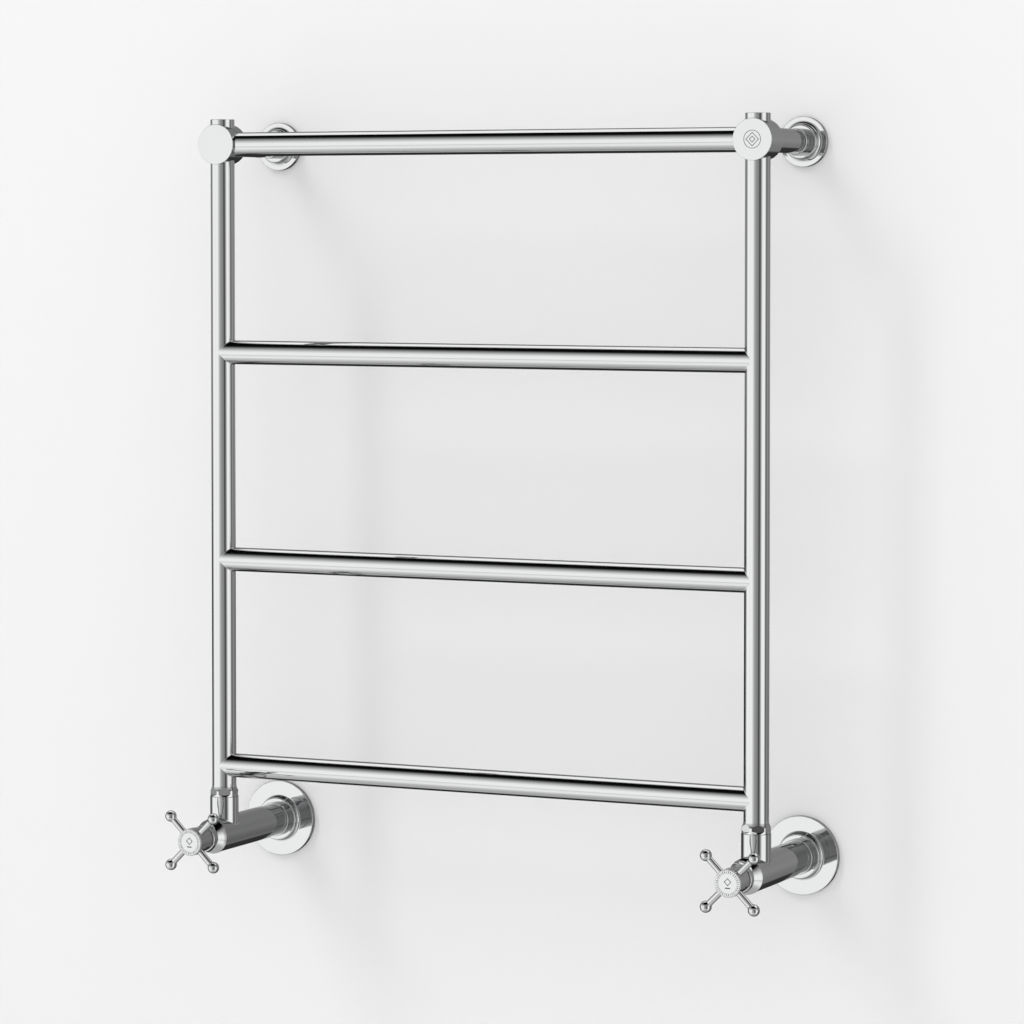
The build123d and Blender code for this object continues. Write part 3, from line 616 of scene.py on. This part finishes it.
def stay(side, sign):
    """Sleeve, rod, collar and rose that hold the radiator off the wall."""
    centre = Vector((sign * POST_X, POST_Y, 0))

    def span(node):
        low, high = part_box(f"{side}_stay_{node}")
        return (low.y - POST_Y) / MM, (high.y - POST_Y) / MM, (high.z - low.z) / 2 / MM

    hub_back, sleeve_end, sleeve_r = span("sleeve")
    _, rod_end, rod_r = span("rod")
    collar_front, collar_end, collar_r = span("collar")
    rose_front, rose_back, rose_r = span("rose")
    gap = 0.1

    bore = rod_r + gap / 2
    sleeve = [(hub_back, bore), (hub_back, sleeve_r), (sleeve_end, sleeve_r, 0.5), (sleeve_end, bore, 0.1)]
    shell = add_turned(Shell(), sleeve, centre, TO_WALL)
    build(f"{side}_stay_sleeve_tube", shell, "radiator", CHROME, "chrome", f"{side}_stay_sleeve")

    rod_front = sleeve_end - 35
    rod_bore = 5
    rod = [(rod_front, rod_bore), (rod_front, rod_r), (rod_end, rod_r), (rod_end, rod_bore)]
    shell = add_turned(Shell(), rod, centre, TO_WALL)
    build(f"{side}_stay_rod_tube", shell, "radiator", CHROME, "chrome", f"{side}_stay_rod")

    collar = [
        (collar_front, rod_r + gap),
        (collar_front, collar_r, 1.5),
        (collar_end, collar_r, 0.3),
        (collar_end, rod_r + gap),
    ]
    shell = add_turned(Shell(), collar, centre, TO_WALL)
    build(f"{side}_stay_collar_ring", shell, "radiator", CHROME, "chrome", f"{side}_stay_collar")

    boss_r = 17.3
    foot_r = 21.5
    plate = 5.0
    rose = rose_corners(rose_front, rose_back, rod_r + gap, boss_r, foot_r, rose_r, plate)
    shell = add_turned(Shell(), rose, centre, TO_WALL)
    build(f"{side}_stay_rose_shell", shell, "radiator", CHROME, "chrome", f"{side}_stay_rose")


def rose_corners(front, back, hole_r, boss_r, foot_r, plate_r, plate):
    """Outline of a hollow rose: a rounded boss, a hollow flare and a flat plate with a soft rim.

    boss_r is the boss's radius, foot_r the flare's at the plate, and plate the plate's thickness."""
    shell = 1.2
    face = back - plate
    return [
        (front, hole_r, 0.15),
        (front, boss_r, 1.6),
        (face, boss_r, foot_r - boss_r),
        (face, plate_r, 0.6),
        (back, plate_r),
        (back, plate_r - shell),
        (face + shell, plate_r - shell),
        (face + shell, boss_r - shell),
        (front + shell, boss_r - shell),
        (front + shell, hole_r),
    ]


def hollow_points(start, end, sag, count):
    """Points of a slightly hollow line between two outline points, whose hollow lies towards the axis."""
    start, end = np.array(start, float), np.array(end, float)
    along = (end - start) / np.linalg.norm(end - start)
    inward = np.array((along[1], -along[0]))
    if inward[1] > 0:
        inward = -inward
    out = []
    for step in range(1, count):
        share = step / count
        place = start + (end - start) * share + inward * sag * (1 - (2 * share - 1) ** 2)
        out.append((place[0], place[1], SMOOTH))
    return out


# ---------------------------------------------------------------- valves


def valve(side, sign):
    """Body with its branch, union, bonnet, pipe shroud and rose."""
    centre = Vector((sign * POST_X, POST_Y, VALVE_Z))
    valve_body(side, centre)
    union(side, centre)
    bonnet(side, centre)
    pipe_cover(side, centre)


def valve_body(side, centre):
    """Long turned body, and the branch that rises from it to the union."""
    low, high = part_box(f"{side}_valve_body")
    radius = (high.x - low.x) / 2 / MM
    front = (low.y - POST_Y) / MM
    back = (high.y - POST_Y) / MM
    branch_r = 14.8
    branch_bore = 8.5
    weld = 1.1
    thread_r = 11.0
    thread_top = (high.z - VALVE_Z) / MM
    shoulder = thread_top - 4.5
    mouth_r = 12.45
    mouth_back = -8.0
    chamber_r = 11.0
    seat_front = 9.0
    seat_back = 14.0
    seat_r = 6.0
    inlet_r = 6.5
    pipe_stop = 56.0
    pipe_r = 7.6
    cone_front = 66.0
    cone_back = 68.5
    socket_r = 12.0
    shell = Shell()
    corners = [
        (front, mouth_r),
        (front, radius, 0.4),
        (back, radius, 0.5),
        (back, socket_r, 0.4),
        (cone_back, socket_r),
        (cone_front, pipe_r + 0.7),
        (cone_front, pipe_r),
        (pipe_stop, pipe_r),
        (pipe_stop, inlet_r),
        (seat_back, inlet_r),
        (seat_back, seat_r),
        (seat_front, seat_r),
        (seat_front, chamber_r),
        (mouth_back, chamber_r),
        (mouth_back, mouth_r),
    ]
    add_turned(shell, corners, centre, TO_WALL)
    top = centre + UP * shoulder * MM
    add_saddled_tube(shell, branch_r, branch_bore, radius, weld, centre, UP, RIGHT, top, False)
    thread = [
        (shoulder - 1, branch_bore),
        (shoulder - 1, thread_r),
        (thread_top, thread_r, 0.4),
        (thread_top, branch_bore),
    ]
    add_turned(shell, thread, centre, UP)
    build(f"{side}_valve_casting", shell, "radiator", CHROME, "chrome", f"{side}_valve_body")


def union(side, centre):
    """Nut with milled flats, and the turned end of the post above it."""
    low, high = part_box(f"{side}_union_nut")
    nut_low = (low.z - VALVE_Z) / MM
    lip = 1.7
    end_r = 16.6
    nut = {
        "low": nut_low,
        "high": (high.z - VALVE_Z) / MM,
        "r": (high.y - low.y) / 2 / MM,
        "flat_r": 13.0,
        "end_r": end_r,
        "end_height": nut_low + lip + end_r,
        "bore": 11.2,
    }
    shell = Shell()
    add_milled_nut(shell, centre, nut)
    build(f"{side}_union_milled", shell, "radiator", CHROME, "chrome", f"{side}_union_nut")
    bottom = (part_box(f"{side}_post_flare")[0].z - VALVE_Z) / MM
    bore = 7.55
    spigot_top = HOLLOW_TOP + 10.0
    spigot_r = POST_R - TUBE_WALL - 0.1
    steps = 6
    corners = [(bottom, bore), (bottom, hollow_r(bottom))]
    for step in range(1, steps):
        height = bottom + (HOLLOW_TOP - bottom) * step / steps
        corners.append((height, hollow_r(height), SMOOTH))
    corners += [(HOLLOW_TOP, POST_R), (HOLLOW_TOP, spigot_r), (spigot_top, spigot_r), (spigot_top, bore)]
    shell = add_turned(Shell(), corners, centre, UP)
    build(f"{side}_post_flare_turned", shell, "radiator", CHROME, "chrome", f"{side}_post_flare")


def bonnet(side, centre):
    """Shroud over the headwork: rim, hollow cone, neck and rounded ring."""
    low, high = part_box(f"{side}_bonnet")
    front = (low.y - POST_Y) / MM
    back = (high.y - POST_Y) / MM
    rim_r = (high.x - low.x) / 2 / MM
    rim_end = back - 3.0
    sag = 0.35
    neck_front = back - 10.5
    neck_r = 11.9
    ring_back = back - 15.0
    ring_r = 13.9
    bore = 10.6
    cavity_r = 14.2
    corners = [(back, cavity_r), (back, rim_r, 0.2), (rim_end, rim_r)]
    corners += hollow_points((rim_end, rim_r), (neck_front, neck_r), sag, 8)
    corners += [
        (neck_front, neck_r, 0.4),
        (ring_back, neck_r),
        (ring_back, ring_r, 0.45),
        (front, ring_r, 1.5),
        (front, bore),
        (back - 8.0, bore),
        (back - 3.5, cavity_r),
    ]
    shell = add_turned(Shell(), corners, centre, TO_WALL)
    build(f"{side}_bonnet_turned", shell, "radiator", CHROME, "chrome", f"{side}_bonnet")


def pipe_cover(side, centre):
    """Sleeve and rose over the supply pipe."""
    low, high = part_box(f"{side}_pipe_shroud")
    front = (low.y - POST_Y) / MM
    back = (high.y - POST_Y) / MM
    radius = (high.x - low.x) / 2 / MM
    bore = radius - 1
    corners = [(front, bore), (front, radius, 0.2), (back, radius), (back, bore)]
    shell = add_turned(Shell(), corners, centre, TO_WALL)
    build(f"{side}_pipe_sleeve", shell, "radiator", CHROME, "chrome", f"{side}_pipe_shroud")
    low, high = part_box(f"{side}_valve_rose")
    rose_front = (low.y - POST_Y) / MM
    rose_back = (high.y - POST_Y) / MM
    rose_r = (high.x - low.x) / 2 / MM
    gap = 0.1
    boss_r = 22.8
    foot_r = 25.6
    plate = 5.5
    corners = rose_corners(rose_front, rose_back, radius + gap, boss_r, foot_r, rose_r, plate)
    shell = add_turned(Shell(), corners, centre, TO_WALL, FINEST)
    build(f"{side}_valve_rose_shell", shell, "radiator", CHROME, "chrome", f"{side}_valve_rose")


def rose_rings():
    """Thin rounded rings that hold the valve roses to the wall."""
    low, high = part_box("rose_rings")
    front = (low.y - POST_Y) / MM
    back = (high.y - POST_Y) / MM
    outer_r = (high.z - low.z) / 2 / MM
    inner_r = outer_r - 1.5
    shell = Shell()
    corners = [(front, inner_r, 0.1), (front, outer_r, 0.9), (back, outer_r, 0.3), (back, inner_r)]
    for sign in SIDES.values():
        add_turned(shell, corners, Vector((sign * POST_X, POST_Y, VALVE_Z)), TO_WALL)
    build("rose_ring_pair", shell, "radiator", CHROME, "chrome", "rose_rings")


def handle(side, sign):
    """Crosshead: hub with a skirt, marked front disc and four ball-ended spokes."""
    body = f"{side}_handle"
    centre = Vector((sign * POST_X, POST_Y, VALVE_Z))
    hub_low, hub_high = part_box(f"{side}_handle_hub")
    front = (hub_low.y - POST_Y) / MM
    back = (hub_high.y - POST_Y) / MM
    hub_r = (hub_high.x - hub_low.x) / 2 / MM
    skirt_r = 12.6
    skirt_bore = 11.0
    skirt_floor = back - 10
    shoulder = back - 13.3
    disc_r = hub_r - 0.6
    disc_seat = front + 1.6
    screw_r = 4.2
    screw_seat = front + 4
    spindle_r = 3.95
    corners = [
        (back, skirt_bore),
        (back, skirt_r, 0.4),
        (shoulder, skirt_r, 0.5),
        (shoulder, hub_r, 0.6),
        (front, hub_r, 0.35),
        (front, disc_r, 0.1),
        (disc_seat, disc_r),
        (disc_seat, screw_r),
        (screw_seat, screw_r),
        (screw_seat, spindle_r),
        (skirt_floor, spindle_r),
        (skirt_floor, skirt_bore),
    ]
    shell = add_turned(Shell(), corners, centre, TO_WALL)
    build(f"{side}_handle_boss", shell, body, CHROME, "chrome", f"{side}_handle_hub")
    handle_spokes(side, body, centre)
    handle_cap(side, body, centre)


def handle_spokes(side, body, centre):
    """Four spokes at 45 degrees, each with a ball turned on its end."""
    low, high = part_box(f"{side}_handle_spokes")
    middle_y = (low.y + high.y) / 2
    ball_r = (high.y - low.y) / 2 / MM
    reach = (((high.x - low.x) / 2 / MM) - ball_r) * math.sqrt(2)
    spoke_r = 3.25
    root = 10
    neck = math.asin(spoke_r / ball_r)
    neck_foot = reach - ball_r * math.cos(neck) - 0.3
    steps = 14
    corners = [(root, 0), (root, spoke_r), (neck_foot, spoke_r, 0.2)]
    for step in range(1, steps + 1):
        angle = math.pi - neck - (math.pi - neck) * step / steps
        corners.append((reach + ball_r * math.cos(angle), ball_r * math.sin(angle), SMOOTH))
    corners[-1] = (reach + ball_r, 0)
    shell = Shell()
    hub_centre = Vector((centre.x, middle_y, centre.z))
    for quarter in range(4):
        angle = math.radians(45 + 90 * quarter)
        direction = RIGHT * math.cos(angle) + UP * math.sin(angle)
        add_turned(shell, corners, hub_centre, direction, MEDIUM)
    build(f"{side}_handle_arms", shell, body, CHROME, "chrome", f"{side}_handle_spokes")


def handle_cap(side, body, centre):
    """Front disc with a sunk face, a fine groove and raised marks: a ring of ticks, a diamond and a bar."""
    low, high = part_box(f"{side}_handle_cap")
    front = (low.y - POST_Y) / MM
    back = (high.y - POST_Y) / MM
    radius = (high.x - low.x) / 2 / MM
    sunk = 0.15
    groove_r = 9.9
    corners = ring_groove(front + sunk, groove_r, 0.2)
    corners += [(front + sunk, radius - 0.7, 0.05), (front, radius - 0.55, 0.05), (front, radius, 0.3)]
    corners += [(back, radius), (back, 0)]
    shell = add_turned(Shell(), corners, centre, TO_WALL)
    build(f"{side}_handle_disc", shell, body, CHROME, "chrome", f"{side}_handle_cap")
    marks = Shell()
    face = centre + TO_WALL * (front + sunk) * MM
    height = sunk / 2 * MM
    ticks = 34
    tick_r = 11.2
    half_width = 0.34
    for tick in range(ticks):
        angle = 2 * math.pi * tick / ticks
        out = RIGHT * math.cos(angle) + UP * math.sin(angle)
        half_length = 0.85 if tick % 3 else 0.5
        place = face + out * tick_r * MM - TO_WALL * height
        add_block(marks, place, (half_length * MM, height, half_width * MM), angle)
    diamond_rise = 1.4
    diamond_reach = 3.4
    bar_drop = 4.6
    add_diamond(marks, face + UP * diamond_rise * MM, diamond_reach * MM, 0.62 * MM, height)
    add_block(marks, face - UP * bar_drop * MM - TO_WALL * height, (2.6 * MM, height, 0.55 * MM))
    # The ticks, diamond and bar get the dark chrome whose colour is painted shade of engraved lines.
    build(f"{side}_handle_marks", marks, body, PAINTED_SHADE_CHROME, "chrome")


def grub_screws():
    """Buttons of the stays' grub screws, under the sleeves."""
    low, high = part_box("stay_grub_screws")
    depth = (low.y + high.y) / 2
    shell = Shell()
    foot = -low.z / MM
    head = foot + 0.3
    floor = foot - 1
    root = 9.5
    screw_r = 2.5
    key_r = 1.3
    corners = [(root, 0), (root, screw_r), (head, screw_r, 0.2)]
    corners += [(head, key_r, 0.1), (floor, key_r), (floor, 0)]
    for sign in SIDES.values():
        add_turned(shell, corners, Vector((sign * POST_X, depth, 0)), -UP, COARSE)
    build("grub_screw_pair", shell, "radiator", STEEL, "steel", "stay_grub_screws")


def finish_cad_nodes():
    """Materials of the CAD nodes that stay: the inner brass, steel and rubber parts."""
    finishes = {"chrome": CHROME, "brass": BRASS, "steel": STEEL, "rubber": RUBBER}
    slots = {entry["node"]: entry["material_slot"] for entry in frame["record"]["subparts"]}
    for name, piece in frame["nodes"].items():
        piece.data.materials.clear()
        piece.data.materials.append(finishes[slots[name]])


# ---------------------------------------------------------------- studio


def stage_material(name, brightness):
    """Pale matt stage that is clear from behind, so the back of the object can be seen through it."""
    material, nodes, links, shader = new_material(name)
    shader.inputs["Base Color"].default_value = (brightness, brightness, brightness, 1)
    shader.inputs["Roughness"].default_value = 0.9
    shader.inputs["Specular IOR Level"].default_value = 0.0
    clear = nodes.new("ShaderNodeBsdfTransparent")
    mix = nodes.new("ShaderNodeMixShader")
    geometry = nodes.new("ShaderNodeNewGeometry")
    links.new(geometry.outputs["Backfacing"], mix.inputs["Fac"])
    links.new(shader.outputs["BSDF"], mix.inputs[1])
    links.new(clear.outputs["BSDF"], mix.inputs[2])
    links.new(mix.outputs["Shader"], nodes["Material Output"].inputs["Surface"])
    return material


def stage_plane(name, corners, material):
    mesh = bpy.data.meshes.new(name)
    mesh.from_pydata(corners, [], [[0, 1, 2, 3]])
    mesh.materials.append(material)
    plane = bpy.data.objects.new(name, mesh)
    bpy.context.scene.collection.objects.link(plane)
    plane.visible_glossy = False


def stage_set():
    """Wall behind the object and floor below it."""
    half = 6.0
    floor = -1.15
    ceiling = 5.0
    back = 0.0005
    front = -6.0
    wall = [(half, back, floor), (-half, back, floor), (-half, back, ceiling), (half, back, ceiling)]
    pale = 0.8
    stage_plane("wall", wall[::-1], stage_material("wall_paint", pale))
    ground = [(-half, front, floor), (half, front, floor), (half, back, floor), (-half, back, floor)]
    stage_plane("floor", ground, stage_material("floor_paint", pale))


class World:
    """Small helper that strings math nodes together in the world's tree."""

    def __init__(self):
        world = bpy.data.worlds.new("studio")
        bpy.context.scene.world = world
        world.use_nodes = True
        self.tree = world.node_tree
        self.nodes = self.tree.nodes
        self.links = self.tree.links
        self.nodes.clear()

    def math(self, operation, first, second=None):
        node = self.nodes.new("ShaderNodeMath")
        node.operation = operation
        for index, value in enumerate((first, second)):
            if isinstance(value, (int, float)):
                node.inputs[index].default_value = value
            elif value is not None:
                self.links.new(value, node.inputs[index])
        return node.outputs[0]

    def mix(self, factor, first, second):
        node = self.nodes.new("ShaderNodeMix")
        for name, value in (("Factor", factor), ("A", first), ("B", second)):
            if isinstance(value, (int, float)):
                node.inputs[name].default_value = value
            else:
                self.links.new(value, node.inputs[name])
        return node.outputs["Result"]

    def band(self, value, low, high, soft):
        """1 between low and high, falling smoothly to 0 over soft on both sides."""
        masks = []
        for start, end in ((low - soft, low + soft), (high + soft, high - soft)):
            node = self.nodes.new("ShaderNodeMapRange")
            node.interpolation_type = "SMOOTHSTEP"
            node.inputs["From Min"].default_value = start
            node.inputs["From Max"].default_value = end
            self.links.new(value, node.inputs["Value"])
            masks.append(node.outputs["Result"])
        return self.math("MULTIPLY", *masks)

    def profile(self, value, low, high, stops):
        """Brightness along a value, through (value, brightness) stops."""
        node = self.nodes.new("ShaderNodeMapRange")
        node.inputs["From Min"].default_value = low
        node.inputs["From Max"].default_value = high
        self.links.new(value, node.inputs["Value"])
        ramp = self.nodes.new("ShaderNodeValToRGB")
        ramp.color_ramp.interpolation = "LINEAR"
        elements = ramp.color_ramp.elements
        while len(elements) > 1:
            elements.remove(elements[-1])
        for index, (place, brightness) in enumerate(stops):
            position = (place - low) / (high - low)
            element = elements[0] if index == 0 else elements.new(position)
            element.position = position
            element.color = (brightness, brightness, brightness, 1)
        self.links.new(node.outputs["Result"], ramp.inputs["Fac"])
        return ramp.outputs["Color"]


# Brightness of what the chrome mirrors, by height above the horizon in degrees: in front of the wall, white
# panels over a pale ground with a thin seam at their foot and a black flag above; behind its plane, a dim
# room under a soft light.
FRONT_HEIGHTS = [
    (-90, 0.4), (-64, 0.43), (-54, 0.57), (-46, 0.77), (-38, 0.93), (-29, 0.86), (-23.5, 0.82),
    (-21.3, 0.45), (-19, 0.93), (-12, 0.95), (-4, 0.965), (5, 0.94), (13, 0.79), (22, 0.59), (31, 0.37),
    (40, 0.19), (47, 0.035), (52, 0.002), (90, 0.002),
]
BACK_HEIGHTS = [
    (-90, 0.14), (-55, 0.13), (-40, 0.12), (-22, 0.16), (-5, 0.31), (0, 0.34), (8, 0.31), (25, 0.2),
    (40, 0.14), (46, 0.95), (66, 0.95), (75, 0.5), (90, 0.4),
]
# How much of that shows near the horizon, by azimuth from -Y towards +X: the dark gap in front is the
# unlit part of the room round the camera, with the panels' black edges in it.
HORIZON = [
    (-180, 1.05), (-150, 0.9), (-121, 0.86), (-92, 0.3), (-86, 0.32), (-81, 1.0), (-50, 1.0), (-47, 0.85),
    (-44, 1.0), (-20, 0.98), (-8, 0.6), (1, 0.42), (11, 0.33), (21, 0.28), (31, 0.26), (37, 0.09),
    (43, 0.055), (50, 0.16), (60, 0.54), (67, 0.98), (94, 1.0), (103, 0.75), (116, 0.42), (130, 1.05),
    (147, 0.48), (170, 1.05), (180, 1.05),
]


def studio_world():
    """World that chrome mirrors, dimmer where it is mirrored twice, and an even pale light for the rest."""
    world = World()
    coordinates = world.nodes.new("ShaderNodeTexCoord")
    split = world.nodes.new("ShaderNodeSeparateXYZ")
    world.links.new(coordinates.outputs["Generated"], split.inputs["Vector"])
    x, y, z = split.outputs
    degrees = 180 / math.pi
    azimuth = world.math("MULTIPLY", world.math("ARCTAN2", x, world.math("MULTIPLY", y, -1.0)), degrees)
    height = world.math("MULTIPLY", world.math("ARCSINE", z), degrees)
    front = world.profile(height, -90, 90, FRONT_HEIGHTS)
    back = world.profile(height, -90, 90, BACK_HEIGHTS)
    unlit = 0.03
    low_left = world.math("MULTIPLY", world.band(z, -2, -0.06, 0.04), world.band(x, -2, 0.13, 0.05))
    back = world.mix(low_left, back, unlit)
    wall_side = world.math("ADD", y, world.math("MULTIPLY", z, 0.15))
    in_front = world.band(wall_side, -2, 0.14, 0.03)
    room = world.mix(in_front, back, front)
    near_horizon = world.band(height, -42, 26, 14)
    share = world.mix(near_horizon, 1.0, world.profile(azimuth, -180, 180, HORIZON))
    mirrored = world.math("MULTIPLY", room, share)

    path = world.nodes.new("ShaderNodeLightPath")
    twice = world.math("GREATER_THAN", path.outputs["Glossy Depth"], 1.5)
    second_bounce = 0.55
    mirrored = world.math("MULTIPLY", mirrored, world.mix(twice, 1.0, second_bounce))
    diffuse = 1.13
    behind = 0.88
    even = world.mix(path.outputs["Is Camera Ray"], diffuse, behind)
    strength = world.mix(path.outputs["Is Glossy Ray"], even, mirrored)
    background = world.nodes.new("ShaderNodeBackground")
    output = world.nodes.new("ShaderNodeOutputWorld")
    world.links.new(strength, background.inputs["Color"])
    world.links.new(background.outputs["Background"], output.inputs["Surface"])


def key_light():
    """Tall soft light, far off, high in front and to the left, which throws the shadows on the wall."""
    target = Vector((0, POST_Y, VALVE_Z / 2))
    direction = Vector((-0.47, -0.54, 0.70)).normalized()
    distance = 30.0
    data = bpy.data.lights.new("key", "AREA")
    data.shape = "RECTANGLE"
    data.size = 4.0
    data.size_y = 14.0
    data.energy = 1700
    light = bpy.data.objects.new("key", data)
    bpy.context.scene.collection.objects.link(light)
    light.location = target + direction * distance
    light.rotation_euler = direction.to_track_quat("Z", "Y").to_euler()
    light.visible_glossy = False


def camera():
    """Long lens, a little below the top rail's height, to the right of the radiator."""
    data = bpy.data.cameras.new("camera")
    data.sensor_width = 36.0
    data.lens = 141.75
    data.shift_y = -0.12
    piece = bpy.data.objects.new("camera", data)
    bpy.context.scene.collection.objects.link(piece)
    piece.location = (1.785, -3.7855, -0.0822)
    piece.rotation_euler = (math.radians(90 - 2.35), 0, math.radians(25.566))
    bpy.context.scene.camera = piece


# ---------------------------------------------------------------- assembly

camera()
for side, sign in SIDES.items():
    post(side, sign)
    hub(side, sign)
    stay(side, sign)
    valve(side, sign)
    handle(side, sign)
for node in RAILS:
    rail(node)
top_plug("left", -1, "left_air_vent", 4.2)
top_plug("right", 1, "right_blanking_plug", 4.3)
rose_rings()
grub_screws()
finish_cad_nodes()
stage_set()
studio_world()
key_light()
bpy.context.scene.view_settings.view_transform = "Standard"
